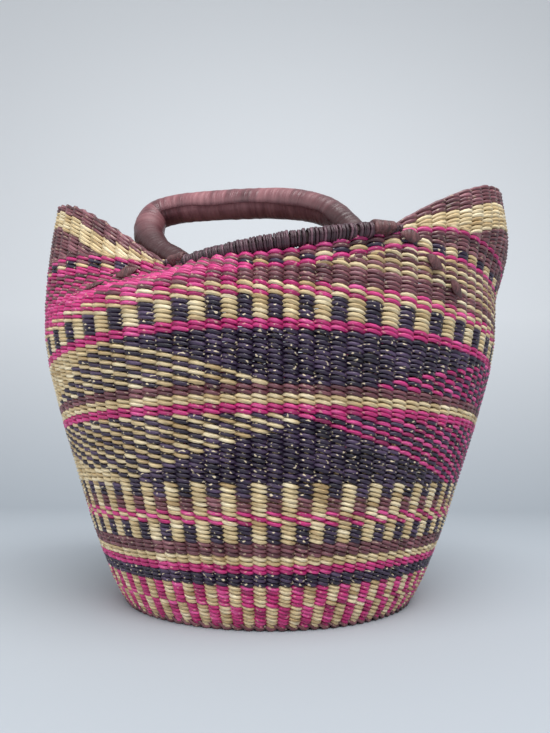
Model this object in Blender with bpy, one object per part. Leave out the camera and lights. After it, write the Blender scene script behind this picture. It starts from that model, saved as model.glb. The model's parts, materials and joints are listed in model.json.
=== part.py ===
# A round grass shopping basket with raised ends and two leather-covered handles.
# Metres. The front faces -Y, +Z is up, the underside of the bottom lies at height 0.
import math

import bmesh
import bpy
from mathutils import Vector

# Sizes of the weave
row_pitch = 0.00305
stake_count = 104
stakes_per_facet = 2

# Outer profile of the wall, from the turn of the bottom up to the tip of an ear
profile_radii = (0.1245, 0.1295, 0.1362, 0.146, 0.1548, 0.168, 0.1840, 0.1880,
                 0.200, 0.206, 0.209, 0.210, 0.2095, 0.208, 0.206)
profile_heights = (0.0025, 0.0085, 0.020, 0.041, 0.061, 0.096, 0.139, 0.1507,
                   0.1865, 0.212, 0.240, 0.270, 0.300, 0.330, 0.366)
wall_thickness = 0.005
touch_gap = 0.0003

# Rows of each wall band, counted upwards
band_rows = (("checks_low_weft", 11, "pink"), ("navy_low_weft", 3, "navy"),
             ("magenta_low_weft", 2, "magenta"), ("tan_low_weft", 2, "tan"),
             ("brown_low_weft", 3, "brown"), ("posts_weft", 13, "tan"),
             ("lower_field_weft", 14, "navy"), ("magenta_mid_weft", 2, "magenta"),
             ("tan_mid_weft", 2, "tan"), ("brown_mid_weft", 2, "brown"),
             ("upper_field_weft", 11, "navy"), ("magenta_upper_weft", 2, "magenta"),
             ("checks_upper_weft", 5, "tan"), ("candy_weft", 3, "pink"))
shoulder_rows = 7
side_extra_rows = 17
side_extra_angle = 62.0
right_ear_rows = 20.6
left_ear_rows = 18.4
right_ear_power = 1.0
left_ear_power = 1.35
ear_start_angle = 24.0
ear_border_rows = 4.0

# Outward lean of the right ear
ear_lean = 0.0145
ear_lean_row = 84.0
ear_lean_rows = 20.0
ear_lean_angle = 36.0

# Soft fold of the front rim towards the inside, left of the middle
fold_inward = 0.032
fold_drop = 0.012
fold_angle = -28.0
fold_half_width = 40.0
fold_rows = 14.0

# Bottom and stakes
base_thickness = 0.005
stake_width = 0.0036
stake_thickness = 0.002
stake_root_radius = 0.098
stake_levels = (24, 50)
stake_short_rows = 0.5

# Rim between the handle ends
whip_end_angle = 17.3
whip_height = 0.012
whip_outside = 0.0035
whip_inside = 0.0085
whip_skin = 0.002
whip_corner_share = 0.25

# Leather loop over the rim
loop_start_angle = 17.5
loop_end_angle = 22.6
loop_leather = 0.0018
loop_leg = 0.012

# Ear pieces begin here
ear_cut_angle = 28.0

# Handle
handle_base_angle = 20.2
handle_height = 0.100
handle_radius = 0.0120
handle_end_radius = 0.0088
handle_swell_share = 0.3
handle_leather = 0.0016
front_hinge_gap = 0.0012
back_hinge_gap = 0.0006
front_handle_lean = 29.0
back_handle_lean = 50.0
handle_stations = 26
handle_sides = 8
dome_angles = (90.0, 55.0, 20.0)
arch_shares = ((-1.00, 0.00), (-0.97, 0.15), (-1.16, 0.33), (-1.48, 0.53), (-1.73, 0.78),
               (-1.69, 1.02), (-1.38, 1.065), (-0.90, 1.01), (-0.40, 0.92), (0.05, 0.82),
               (0.42, 0.69), (0.70, 0.51), (0.88, 0.26), (1.00, 0.00))

# Lacing tail inside the wall, with diamond stitches outside
tail_leather = 0.0018
tail_width = 0.011
tail_lift = 0.0014
tail_start_angle = 22.8
tail_end_angle = 44.0
stitch_facets = (4, 5, 6)
stitch_first_row = 86.5
stitch_row_step = 4.0
stitch_long = 0.011
stitch_wide = 0.009
stitch_leather = 0.0016
stitch_stem = 0.003
stitch_lift = 0.0018

# Places closer together than this are one place
angle_slack = 0.05
twist_share = 0.02

facet_count = stake_count // stakes_per_facet
facet_step = 360.0 / facet_count

for old in list(bpy.data.objects):
    bpy.data.objects.remove(old, do_unlink=True)

colours = {
    "pink": (0.52, 0.045, 0.21, 1.0), "magenta": (0.47, 0.02, 0.17, 1.0),
    "tan": (0.64, 0.47, 0.25, 1.0), "navy": (0.025, 0.02, 0.05, 1.0),
    "brown": (0.09, 0.035, 0.04, 1.0), "straw": (0.60, 0.45, 0.24, 1.0),
    "whipping": (0.045, 0.02, 0.022, 1.0), "leather": (0.13, 0.035, 0.03, 1.0),
    "grass_core": (0.42, 0.30, 0.15, 1.0),
}


def material(key, name):
    made = bpy.data.materials.new(name)
    made.use_nodes = True
    shader = made.node_tree.nodes["Principled BSDF"]
    shader.inputs["Base Color"].default_value = colours[key]
    shader.inputs["Roughness"].default_value = 0.42 if key == "leather" else 0.7
    made.diffuse_color = colours[key]
    return made


# Wall geometry
gap_rows = touch_gap / row_pitch
band_edges = [0]
for band in band_rows:
    band_edges.append(band_edges[-1] + band[1])
shoulder_start = band_edges[-1]

profile_paths = [0.0]
for index in range(1, len(profile_radii)):
    run = profile_radii[index] - profile_radii[index - 1]
    rise = profile_heights[index] - profile_heights[index - 1]
    profile_paths.append(profile_paths[-1] + math.hypot(run, rise))


def profile(row):
    """Outer radius and height of the wall at a row counted from the turn."""
    path = row * row_pitch
    last = len(profile_paths) - 2
    piece = 0
    while piece < last and path > profile_paths[piece + 1]:
        piece += 1
    share = (path - profile_paths[piece]) / (profile_paths[piece + 1] - profile_paths[piece])
    radius = profile_radii[piece] + share * (profile_radii[piece + 1] - profile_radii[piece])
    height = profile_heights[piece] + share * (profile_heights[piece + 1] - profile_heights[piece])
    return radius, height


def ease(share):
    share = min(1.0, max(0.0, share))
    return share * share * (3.0 - 2.0 * share)


def side_turn(angle):
    """Degrees from the nearer of the front and the back, 0 to 90."""
    turn = abs((angle + 180.0) % 360.0 - 180.0)
    return min(turn, 180.0 - turn)


def on_right(angle):
    return math.sin(math.radians(angle)) > 0


def exact_rim(angle):
    return shoulder_start + shoulder_rows + side_extra_rows * ease(side_turn(angle) / side_extra_angle)


def exact_ear(angle):
    rise = (side_turn(angle) - ear_start_angle) / (90.0 - ear_start_angle)
    full, power = ((right_ear_rows, right_ear_power) if on_right(angle)
                   else (left_ear_rows, left_ear_power))
    return full * math.sin(0.5 * math.pi * max(0.0, rise)) ** power


def smooth_point(angle, row, inset):
    radius, height = profile(row)
    away = abs((angle - fold_angle + 180.0) % 360.0 - 180.0) / fold_half_width
    fold = math.cos(0.5 * math.pi * min(1.0, away)) ** 2 * ease((row - shoulder_start) / fold_rows)
    radius -= inset + fold_inward * fold
    if on_right(angle):
        reach = ease((side_turn(angle) - ear_start_angle) / ear_lean_angle)
        radius += ear_lean * reach * ease((row - ear_lean_row) / ear_lean_rows)
    height -= fold_drop * fold
    turn = math.radians(angle)
    return Vector((radius * math.sin(turn), -radius * math.cos(turn), height))


def exact_point(angle, row, inset):
    """A place on the wall at a facet corner, straight between the levels where it bends."""
    rim = exact_rim(angle)
    full = exact_ear(angle)
    knots = [shoulder_start, 0.5 * (shoulder_start + rim), rim]
    if full > 0:
        knots += [rim + full - min(0.5 * full, ear_border_rows), rim + full]
    for low, high in zip(knots, knots[1:]):
        if low < row < high:
            share = (row - low) / (high - low)
            return smooth_point(angle, low, inset).lerp(smooth_point(angle, high, inset), share)
    return smooth_point(angle, row, inset)


def facet_of(angle):
    """The facet corner at or before an angle, and the share of the facet passed."""
    steps = angle / facet_step - 0.5
    corner = math.floor(steps + angle_slack / facet_step)
    return corner, max(0.0, steps - corner)


def corner_angle(corner):
    return (corner + 0.5) * facet_step


def between(function, angle):
    corner, share = facet_of(angle)
    low = function(corner_angle(corner))
    high = function(corner_angle(corner + 1))
    return low + (high - low) * share


def rim_row(angle):
    return between(exact_rim, angle)


def wall_point(angle, row, inset):
    """A place on the faceted wall; row is a number, or a function of the angle."""
    corner, share = facet_of(angle)
    ends = []
    for place in (corner_angle(corner), corner_angle(corner + 1)):
        ends.append(exact_point(place, row(place) if callable(row) else row, inset))
    return ends[0].lerp(ends[1], share)


def along_facet(angle, row):
    """Direction of the facet at a row, towards larger angles, and the facet's width."""
    corner, share = facet_of(angle)
    first = wall_point(corner_angle(corner), row, 0)
    second = wall_point(corner_angle(corner + 1), row, 0)
    return (second - first).normalized(), (second - first).length


def wall_axes(angle, row):
    """Directions on the wall: along the facet, up and outward, and the facet's width."""
    across, width = along_facet(angle, row)
    up = wall_point(angle, row + 1, 0) - wall_point(angle, row, 0)
    outward = across.cross(up).normalized()
    return across, outward.cross(across), outward, width


def above_rim(rows):
    """Rows counted from the upper edge of the shoulder."""
    return lambda angle: exact_rim(angle) + rows


def ear_edge(angle):
    """Row where the ear's border begins."""
    full = exact_ear(angle)
    return exact_rim(angle) + full - min(0.5 * full, ear_border_rows)


def ear_top(angle):
    return exact_rim(angle) + exact_ear(angle)


def ear_border_foot(angle):
    return ear_edge(angle) + gap_rows


def ear_stake_top(angle):
    return ear_top(angle) - stake_short_rows


def shoulder_middle(angle):
    return 0.5 * (shoulder_start + exact_rim(angle))


def stations(start, end):
    """Angles of a sweep along the wall: its two ends and every corner between."""
    angles = [start]
    corner = math.floor(start / facet_step - 0.5) + 1
    while corner_angle(corner) < end - angle_slack:
        if corner_angle(corner) > start + angle_slack:
            angles.append(corner_angle(corner))
        corner += 1
    angles.append(end)
    return angles


# Mesh helpers
def face_outward(mesh_data):
    bmesh.ops.recalc_face_normals(mesh_data, faces=mesh_data.faces)
    if mesh_data.calc_volume(signed=True) < 0:
        bmesh.ops.reverse_faces(mesh_data, faces=mesh_data.faces)


def finish(name, mesh_data, colour, origin=Vector((0.0, 0.0, 0.0))):
    face_outward(mesh_data)
    bmesh.ops.translate(mesh_data, verts=mesh_data.verts, vec=-origin)
    mesh = bpy.data.meshes.new(name)
    mesh_data.to_mesh(mesh)
    mesh_data.free()
    made = bpy.data.objects.new(name, mesh)
    made.location = origin
    bpy.context.scene.collection.objects.link(made)
    mesh.materials.append(material(colour, name + "_finish"))
    return made


def bridge(mesh_data, first, second):
    """Faces between two loops; a twisted four-sided face is split towards the opposite side."""
    count = len(first)
    for index in range(count):
        after = (index + 1) % count
        centre = Vector((0, 0, 0))
        for loop in (first, second):
            for place in (index, after, count - 1 - index, count - 1 - after):
                centre += 0.125 * loop[place].co
        corners = (first[index], first[after], second[after], second[index])
        one = 0.5 * (corners[0].co + corners[2].co)
        other = 0.5 * (corners[1].co + corners[3].co)
        if (one - other).length < twist_share * touch_gap:
            mesh_data.faces.new(corners)
        elif (one - centre).length < (other - centre).length:
            mesh_data.faces.new((corners[0], corners[1], corners[2]))
            mesh_data.faces.new((corners[0], corners[2], corners[3]))
        else:
            mesh_data.faces.new((corners[0], corners[1], corners[3]))
            mesh_data.faces.new((corners[1], corners[2], corners[3]))


def sweep(mesh_data, sections, closed):
    """A solid through sections that have the same number of points."""
    loops = [[mesh_data.verts.new(point) for point in section] for section in sections]
    for index in range(len(loops) - 1):
        bridge(mesh_data, loops[index], loops[index + 1])
    if closed:
        bridge(mesh_data, loops[-1], loops[0])
    else:
        mesh_data.faces.new(loops[0])
        mesh_data.faces.new(list(reversed(loops[-1])))
    return loops


def hollow_sweep(mesh_data, outer_sections, inner_sections):
    """An open tube: outer skin, inner skin and a flat ring at each end."""
    outer = [[mesh_data.verts.new(point) for point in section] for section in outer_sections]
    inner = [[mesh_data.verts.new(point) for point in section] for section in inner_sections]
    for skin in (outer, inner):
        for index in range(len(skin) - 1):
            bridge(mesh_data, skin[index], skin[index + 1])
    bridge(mesh_data, outer[0], inner[0])
    bridge(mesh_data, outer[-1], inner[-1])


def wall_section(angle, low, high, outer_inset, inner_inset, middle=()):
    """Section of a band: outer side upwards, then inner side downwards."""
    levels = [low] + list(middle) + [high]
    section = [wall_point(angle, level, outer_inset) for level in levels]
    section += [wall_point(angle, level, inner_inset) for level in reversed(levels)]
    return section


# Bottom disc
disc = bmesh.new()
disc_low = []
disc_high = []
for corner in range(facet_count):
    turn = math.radians(corner_angle(corner))
    reach = profile_radii[0] - wall_thickness - touch_gap
    disc_low.append(Vector((reach * math.sin(turn), -reach * math.cos(turn), 0)))
    disc_high.append(Vector((reach * math.sin(turn), -reach * math.cos(turn), base_thickness)))
sweep(disc, [disc_low, disc_high], False)
finish("base_disc", disc, "brown")

# Wall bands, one closed ring of weft each
all_corners = [corner_angle(corner) for corner in range(facet_count)]
for index, band in enumerate(band_rows):
    ring = bmesh.new()
    low = band_edges[index] + (gap_rows if index else 0)
    sections = [wall_section(angle, low, band_edges[index + 1], 0, wall_thickness)
                for angle in all_corners]
    sweep(ring, sections, True)
    finish(band[0], ring, band[2])

# Shoulder ring, with slots that the leather stitches pass through
shoulder = bmesh.new()
sections = []
for angle in all_corners:
    sections.append(wall_section(angle, shoulder_start + gap_rows, exact_rim, 0, wall_thickness,
                                 (shoulder_middle,)))
sweep(shoulder, sections, True)
shoulder_ring = finish("shoulder_weft", shoulder, "brown")


def wall_block(mesh_data, angle, row, outer_inset, inner_inset, width, height):
    """A block through the wall, square to the facet, centred on a row."""
    outside = wall_point(angle, row, outer_inset)
    inside = wall_point(angle, row, inner_inset)
    across = Vector((math.cos(math.radians(angle)), math.sin(math.radians(angle)), 0)) * 0.5 * width
    up = Vector((0, 0, 0.5 * height))
    outside.z = inside.z
    sections = [[place - across - up, place + across - up, place + across + up, place - across + up]
                for place in (outside, inside)]
    sweep(mesh_data, sections, False)


def use_solid(target, other_mesh, operation):
    """Cut or add a second solid, and keep the outcome as the target's own mesh."""
    face_outward(other_mesh)
    mesh = bpy.data.meshes.new("helper")
    other_mesh.to_mesh(mesh)
    other_mesh.free()
    other = bpy.data.objects.new("helper", mesh)
    bpy.context.scene.collection.objects.link(other)
    change = target.modifiers.new("change", "BOOLEAN")
    change.operation = operation
    change.solver = "EXACT"
    change.object = other
    bpy.context.view_layer.update()
    evaluated = target.evaluated_get(bpy.context.evaluated_depsgraph_get())
    outcome = bpy.data.meshes.new_from_object(evaluated)
    target.modifiers.clear()
    outcome.name = target.name
    target.data = outcome
    bpy.data.objects.remove(other, do_unlink=True)


# The four handle ends: front right, front left, back left, back right
corner_names = ("front_right", "front_left", "back_left", "back_right")


def at_corner(name, turn):
    """Angle of a place that lies a given turn away from the front or back middle."""
    if name == "front_right":
        return turn
    if name == "front_left":
        return -turn
    if name == "back_left":
        return 180.0 + turn
    return 180.0 - turn


half_strap = 0.5 * tail_width / row_pitch


def tail_row(angle):
    """Row of the lacing's middle, which falls away from the loop and stays under the rim."""
    facets_on = side_turn(angle) / facet_step - stitch_facets[0]
    return min(stitch_first_row - stitch_row_step * facets_on,
               rim_row(angle) - gap_rows - half_strap)


slots = bmesh.new()
for name in corner_names:
    for facet in stitch_facets:
        angle = at_corner(name, facet * facet_step)
        wall_block(slots, angle, tail_row(angle), -2 * stitch_stem,
                   wall_thickness + stake_thickness, stitch_stem + 2 * touch_gap,
                   stitch_stem + 2 * touch_gap)
use_solid(shoulder_ring, slots, "DIFFERENCE")

# Ears: tan short rows below, brown border along the edge
for side, side_name in ((1, "right"), (-1, "left")):
    angles = stations(ear_cut_angle, 180.0 - ear_cut_angle)
    weft = []
    border = []
    for turn in angles:
        angle = side * turn
        weft.append(wall_section(angle, above_rim(gap_rows), ear_edge, 0, wall_thickness))
        border.append(wall_section(angle, ear_border_foot, ear_top, 0, wall_thickness))
    for label, sections, colour in (("weft", weft, "tan"), ("border", border, "brown")):
        ear = bmesh.new()
        sweep(ear, sections, False)
        finish("ear_" + side_name + "_" + label, ear, colour)

# Stakes: they lie side by side on the bottom, then rise inside the wall
cage = bmesh.new()
stake_inset = wall_thickness + 2 * touch_gap
floor_low = base_thickness + touch_gap
floor_high = floor_low + stake_thickness
root_low = []
root_high = []
columns = []
for corner in range(facet_count):
    start = corner_angle(corner)
    for order in range(stakes_per_facet):
        share = (order + 0.5) / stakes_per_facet
        levels = []
        middle_angle = start + share * facet_step
        foot = wall_point(middle_angle, 0, stake_inset)
        first = wall_point(middle_angle, stake_levels[0], stake_inset)
        foot_share = (floor_low - foot.z) / (first.z - foot.z)
        rows = list(stake_levels) + [shoulder_start, shoulder_middle]
        if side_turn(middle_angle) > ear_cut_angle:
            rows += [exact_rim, ear_stake_top]
        else:
            rows += [above_rim(-stake_short_rows)]
        turn = math.radians(middle_angle)
        outward = Vector((math.sin(turn), -math.cos(turn), 0))
        bend = foot.lerp(first, foot_share)
        for side in (-1, 1):
            sideways = Vector((math.cos(turn), math.sin(turn), 0)) * side * 0.5 * stake_width
            root = outward * stake_root_radius + sideways
            outer = [Vector((root.x, root.y, floor_low)), Vector((bend.x, bend.y, floor_low)) + sideways]
            inner = [Vector((root.x, root.y, floor_high)),
                     Vector((bend.x, bend.y, floor_high)) + sideways - outward * stake_thickness]
            for row in rows:
                direction, width = along_facet(middle_angle, row)
                point = wall_point(middle_angle, row, stake_inset) + direction * side * 0.5 * stake_width
                outer.append(point)
                inner.append(point - outward * stake_thickness)
            levels.append(([cage.verts.new(point) for point in outer],
                           [cage.verts.new(point) for point in inner]))
        columns.append(levels)
for index, levels in enumerate(columns):
    (left_outer, left_inner), (right_outer, right_inner) = levels
    for step in range(len(left_outer) - 1):
        cage.faces.new((left_outer[step], right_outer[step], right_outer[step + 1], left_outer[step + 1]))
        cage.faces.new((left_inner[step], left_inner[step + 1], right_inner[step + 1], right_inner[step]))
        cage.faces.new((left_outer[step], left_outer[step + 1], left_inner[step + 1], left_inner[step]))
        cage.faces.new((right_outer[step], right_inner[step], right_inner[step + 1], right_outer[step + 1]))
    cage.faces.new((left_outer[-1], right_outer[-1], right_inner[-1], left_inner[-1]))
    after = columns[(index + 1) % len(columns)]
    cage.faces.new((right_outer[0], after[0][0][0], after[0][1][0], right_inner[0]))
    root_low += [left_outer[0], right_outer[0]]
    root_high += [left_inner[0], right_inner[0]]
cage.faces.new(root_low)
cage.faces.new(root_high)
finish("stakes", cage, "straw")

# Rim between the handle ends: a core and the whipping around it
for end_name, middle_turn in (("front", 0.0), ("back", 180.0)):
    outer_sections = []
    inner_sections = []
    core_sections = []
    for angle in stations(middle_turn - whip_end_angle, middle_turn + whip_end_angle):
        full = whip_height / row_pitch
        cut = whip_corner_share * full
        for collection, shrink in ((outer_sections, 0), (inner_sections, whip_skin),
                                   (core_sections, whip_skin + touch_gap)):
            bottom = gap_rows + shrink / row_pitch
            top = gap_rows + full - shrink / row_pitch
            outside = shrink - whip_outside
            inside = whip_inside - shrink
            middle = 0.5 * (outside + inside)
            collection.append([
                wall_point(angle, above_rim(bottom), middle - 0.5 * (middle - outside)),
                wall_point(angle, above_rim(bottom + cut), outside),
                wall_point(angle, above_rim(top - cut), outside),
                wall_point(angle, above_rim(top), middle - 0.5 * (middle - outside)),
                wall_point(angle, above_rim(top), middle + 0.5 * (inside - middle)),
                wall_point(angle, above_rim(top - cut), inside),
                wall_point(angle, above_rim(bottom + cut), inside),
                wall_point(angle, above_rim(bottom), middle + 0.5 * (inside - middle))])
    whip = bmesh.new()
    hollow_sweep(whip, outer_sections, inner_sections)
    finish("rim_whipping_" + end_name, whip, "whipping")
    core = bmesh.new()
    sweep(core, core_sections, False)
    finish("rim_core_" + end_name, core, "grass_core")

# Leather loops over the rim, beside each handle end
strap_inset = stake_inset + stake_thickness + 2 * touch_gap
for name in corner_names:
    first = at_corner(name, loop_start_angle)
    second = at_corner(name, loop_end_angle)
    sections = []
    for angle in stations(min(first, second), max(first, second)):
        leg = above_rim(-loop_leg / row_pitch)
        under = above_rim(gap_rows)
        over = above_rim(gap_rows + loop_leather / row_pitch)
        sections.append([
            wall_point(angle, leg, -touch_gap - loop_leather),
            wall_point(angle, over, -touch_gap - loop_leather),
            wall_point(angle, over, strap_inset + loop_leather),
            wall_point(angle, leg, strap_inset + loop_leather),
            wall_point(angle, leg, strap_inset),
            wall_point(angle, under, strap_inset),
            wall_point(angle, under, -touch_gap),
            wall_point(angle, leg, -touch_gap)])
    loop = bmesh.new()
    sweep(loop, sections, False)
    finish("rim_loop_" + name, loop, "leather")

# Lacing tails: a strap on the inside, stems through the slots, diamonds outside
tail_inset = strap_inset + tail_lift
for name in corner_names:
    first = at_corner(name, tail_start_angle)
    second = at_corner(name, tail_end_angle)
    sections = []
    stitch_angles = [at_corner(name, facet * facet_step) for facet in stitch_facets]
    for angle in sorted(stations(min(first, second), max(first, second)) + stitch_angles):
        low = tail_row(angle) - half_strap
        high = tail_row(angle) + half_strap
        sections.append([wall_point(angle, low, tail_inset),
                         wall_point(angle, high, tail_inset),
                         wall_point(angle, high, tail_inset + tail_leather),
                         wall_point(angle, low, tail_inset + tail_leather)])
    strap = bmesh.new()
    sweep(strap, sections, False)
    tail = finish("lacing_tail_" + name, strap, "leather")
    for facet in stitch_facets:
        angle = at_corner(name, facet * facet_step)
        row = tail_row(angle)
        stem = bmesh.new()
        wall_block(stem, angle, row, -stitch_lift - 0.5 * stitch_leather,
                   tail_inset + 0.5 * tail_leather, stitch_stem, stitch_stem)
        use_solid(tail, stem, "UNION")
        plate = bmesh.new()
        across, up, outward, width = wall_axes(angle, row)
        centre = wall_point(angle, row, -stitch_lift)
        ring = [centre - up * 0.5 * stitch_long, centre + across * 0.5 * stitch_wide,
                centre + up * 0.5 * stitch_long, centre - across * 0.5 * stitch_wide]
        sweep(plate, [ring, [point + outward * stitch_leather for point in ring]], False)
        use_solid(tail, plate, "UNION")


# Handles: each turns about the line through its two rounded ends
def arch_point(share):
    """Place on the handle's middle line, as shares of half the chord and the height."""
    count = len(arch_shares) - 1
    place = min(max(share, 0.0), 1.0) * count
    piece = min(count - 1, int(place))
    local = place - piece
    points = [arch_shares[min(max(piece + step, 0), count)] for step in (-1, 0, 1, 2)]
    if piece == 0:
        points[0] = tuple(2 * points[1][axis] - points[2][axis] for axis in (0, 1))
    if piece == count - 1:
        points[3] = tuple(2 * points[2][axis] - points[1][axis] for axis in (0, 1))
    result = []
    for axis in (0, 1):
        before, start, end, after = (point[axis] for point in points)
        result.append(0.5 * (2 * start + (end - before) * local
                             + (2 * before - 5 * start + 4 * end - after) * local ** 2
                             + (3 * start - before - 3 * end + after) * local ** 3))
    return result


def handle_width(share):
    """Radius of the handle, which is thinner towards its two ends."""
    swell = ease(min(share, 1.0 - share) / handle_swell_share)
    return handle_end_radius + (handle_radius - handle_end_radius) * swell


def handle_end(angle, hinge_gap):
    """Centre of a handle's rounded end, which lies against the loop's inner leg."""
    outward = wall_axes(angle, exact_rim(angle))[2]
    against = wall_point(angle, exact_rim, strap_inset + loop_leather)
    return against - outward * (hinge_gap + handle_end_radius)


for end_name, left_corner, right_corner, lean_angle, hinge_gap in (
        ("front", "front_left", "front_right", front_handle_lean, front_hinge_gap),
        ("back", "back_left", "back_right", back_handle_lean, back_hinge_gap)):
    left = handle_end(at_corner(left_corner, handle_base_angle), hinge_gap)
    right = handle_end(at_corner(right_corner, handle_base_angle), hinge_gap)
    axis_middle = 0.5 * (left + right)
    half_chord = 0.5 * (right - left).length
    along = (right - left).normalized()
    inward = Vector((0, 0, 1)).cross(along)
    if inward.dot(Vector((axis_middle.x, axis_middle.y, 0))) > 0:
        inward = -inward
    inward.normalize()
    upward = along.cross(inward)
    if upward.z < 0:
        upward = -upward
    lean = math.radians(lean_angle)
    rise = inward * math.sin(lean) + upward * math.cos(lean)
    across_plane = along.cross(rise).normalized()

    middle_line = []
    for step in range(handle_stations + 1):
        sideways, height = arch_point(step / handle_stations)
        middle_line.append(axis_middle + along * sideways * half_chord + rise * height * handle_height)

    def ring_at(place, direction, radius, shift):
        in_plane = direction.cross(across_plane).normalized()
        points = []
        for side in range(handle_sides):
            turn = 2 * math.pi * (side + 0.5) / handle_sides
            points.append(place + direction * shift + in_plane * radius * math.cos(turn)
                          + across_plane * radius * math.sin(turn))
        return points

    directions = []
    for step in range(handle_stations + 1):
        before = middle_line[max(0, step - 1)]
        after = middle_line[min(handle_stations, step + 1)]
        directions.append((after - before).normalized())

    outer_sections = []
    inner_sections = []
    core_sections = []
    for step in range(handle_stations + 1):
        shift = 0
        if step == 0:
            shift = touch_gap
        if step == handle_stations:
            shift = -touch_gap
        skin = handle_width(step / handle_stations)
        outer_sections.append(ring_at(middle_line[step], directions[step], skin, shift))
        inner_sections.append(ring_at(middle_line[step], directions[step], skin - handle_leather, shift))
        core_sections.append(ring_at(middle_line[step], directions[step],
                                     skin - handle_leather - touch_gap, 0))
    cover = bmesh.new()
    hollow_sweep(cover, outer_sections, inner_sections)
    finish("handle_cover_" + end_name, cover, "leather", axis_middle)

    first_dome = []
    last_dome = []
    for dome_turn in dome_angles:
        radius = handle_end_radius * math.sin(math.radians(dome_turn))
        depth = handle_end_radius * math.cos(math.radians(dome_turn))
        first_dome.append(ring_at(middle_line[0], directions[0], radius, -depth))
        last_dome.append(ring_at(middle_line[-1], directions[-1], radius, depth))
    core = bmesh.new()
    sweep(core, list(reversed(first_dome)) + core_sections + last_dome, False)
    finish("handle_core_" + end_name, core, "grass_core", axis_middle)
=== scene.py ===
# %% [markdown]
# # A woven grass shopping basket
# The real basket is twined. Two dyed grass strands travel round the basket together: at each upright
# stake one strand lies outside and the other inside, and between the stakes they change places. Every
# coloured fleck on the outside is one such stitch. So the whole surface can be built from strands, row
# by row, and the pattern comes from the colour of each stitch, with no picture painted on a smooth wall.

import json
import math

import bmesh
import bpy
import numpy as np
from mathutils import Matrix, Vector

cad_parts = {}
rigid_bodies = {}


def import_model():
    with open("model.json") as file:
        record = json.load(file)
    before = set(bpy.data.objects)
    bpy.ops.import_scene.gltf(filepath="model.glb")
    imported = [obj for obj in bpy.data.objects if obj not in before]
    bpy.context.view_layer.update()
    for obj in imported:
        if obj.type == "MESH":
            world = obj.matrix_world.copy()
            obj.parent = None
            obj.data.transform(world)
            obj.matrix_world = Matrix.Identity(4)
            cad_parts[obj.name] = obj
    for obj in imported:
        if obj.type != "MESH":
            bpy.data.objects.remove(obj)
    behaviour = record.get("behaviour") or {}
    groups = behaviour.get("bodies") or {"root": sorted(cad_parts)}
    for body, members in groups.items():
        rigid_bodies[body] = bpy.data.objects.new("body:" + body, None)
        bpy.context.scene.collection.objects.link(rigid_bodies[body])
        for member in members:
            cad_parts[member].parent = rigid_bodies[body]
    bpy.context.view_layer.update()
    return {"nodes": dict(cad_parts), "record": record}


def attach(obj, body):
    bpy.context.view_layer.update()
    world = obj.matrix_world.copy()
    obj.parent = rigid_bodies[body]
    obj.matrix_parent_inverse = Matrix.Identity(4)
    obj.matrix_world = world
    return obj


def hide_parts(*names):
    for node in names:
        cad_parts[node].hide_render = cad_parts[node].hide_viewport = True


for old in list(bpy.data.objects):
    bpy.data.objects.remove(old, do_unlink=True)
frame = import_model()
print("solid pieces:", len(frame["nodes"]))

# %% [markdown]
# ## Camera
# The photograph was taken from close by, low down, tilted a little upwards. A close camera makes the
# middle of the basket look large and its sides recede, so distance matters as much as direction. The
# lens is given in pixels of the picture and turned into millimetres for Blender's 36 mm sensor.

# %% Camera
picture_width = 550
lens_pixels = 490.0
camera_place = (0.0045, -0.480, 0.102)
camera_pitch = 12.45
camera_roll = 0.47

camera_data = bpy.data.cameras.new("camera")
camera_data.sensor_fit = "HORIZONTAL"
camera_data.sensor_width = 36.0
camera_data.lens = lens_pixels / picture_width * camera_data.sensor_width
camera_data.clip_start = 0.01
camera = bpy.data.objects.new("camera", camera_data)
bpy.context.scene.collection.objects.link(camera)
tilt = Matrix.Rotation(math.radians(90.0 + camera_pitch), 4, "X")
roll = Matrix.Rotation(math.radians(camera_roll), 4, "Z")
camera.matrix_world = Matrix.Translation(camera_place) @ tilt @ roll
bpy.context.scene.camera = camera
bpy.context.scene.view_settings.view_transform = "Standard"
print("lens", round(camera_data.lens, 2), "mm")

# %% [markdown]
# ## Colours
# A colour picked on a screen isn't what a shader expects: the screen value has a curve in it. This
# small helper undoes the curve, so that colours can be written as they are seen, from 0 to 255.


# %% Colour helper
def seen_colour(red, green, blue):
    """A colour as seen on a screen, turned into the linear value that a shader takes."""
    linear = []
    for part in (red, green, blue):
        share = part / 255.0
        linear.append(share / 12.92 if share <= 0.04045 else ((share + 0.055) / 1.055) ** 2.4)
    return (*linear, 1.0)


print("mid grey is", round(seen_colour(128, 128, 128)[0], 3))

# %% [markdown]
# ## Helpers for finishes
# A finish is a net of nodes, and each node is fed with numbers, colours or what another node gives. With
# these helpers every node is one call: a place to read, noise, a change of range, tones and relief.

# %% Finish helpers


def new_finish(name):
    """A material and its main shader."""
    made = bpy.data.materials.new(name)
    made.use_nodes = True
    return made, made.node_tree.nodes["Principled BSDF"]


def feed(made, node, values):
    """Give a node its inputs; a value that is another node's output is linked."""
    for socket, value in values.items():
        if isinstance(value, bpy.types.NodeSocket):
            made.node_tree.links.new(value, node.inputs[socket])
        else:
            node.inputs[socket].default_value = value
    return node


def add_node(made, kind, values, **settings):
    node = made.node_tree.nodes.new("ShaderNode" + kind)
    for setting, value in settings.items():
        setattr(node, setting, value)
    return feed(made, node, values)


def object_place(made):
    return add_node(made, "TexCoord", {}).outputs["Object"]


def object_height(made):
    return add_node(made, "SeparateXYZ", {"Vector": object_place(made)}).outputs["Z"]


def uv_place(made, map_name):
    return add_node(made, "UVMap", {}, uv_map=map_name).outputs["UV"]


def noise(made, place, stretch, detail):
    """Soft noise over a place, finer along an axis where the stretch is larger."""
    stretched = add_node(made, "Mapping", {"Vector": place, "Scale": stretch}).outputs["Vector"]
    values = {"Vector": stretched, "Scale": 1.0, "Detail": detail}
    return add_node(made, "TexNoise", values).outputs["Fac"]


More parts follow.
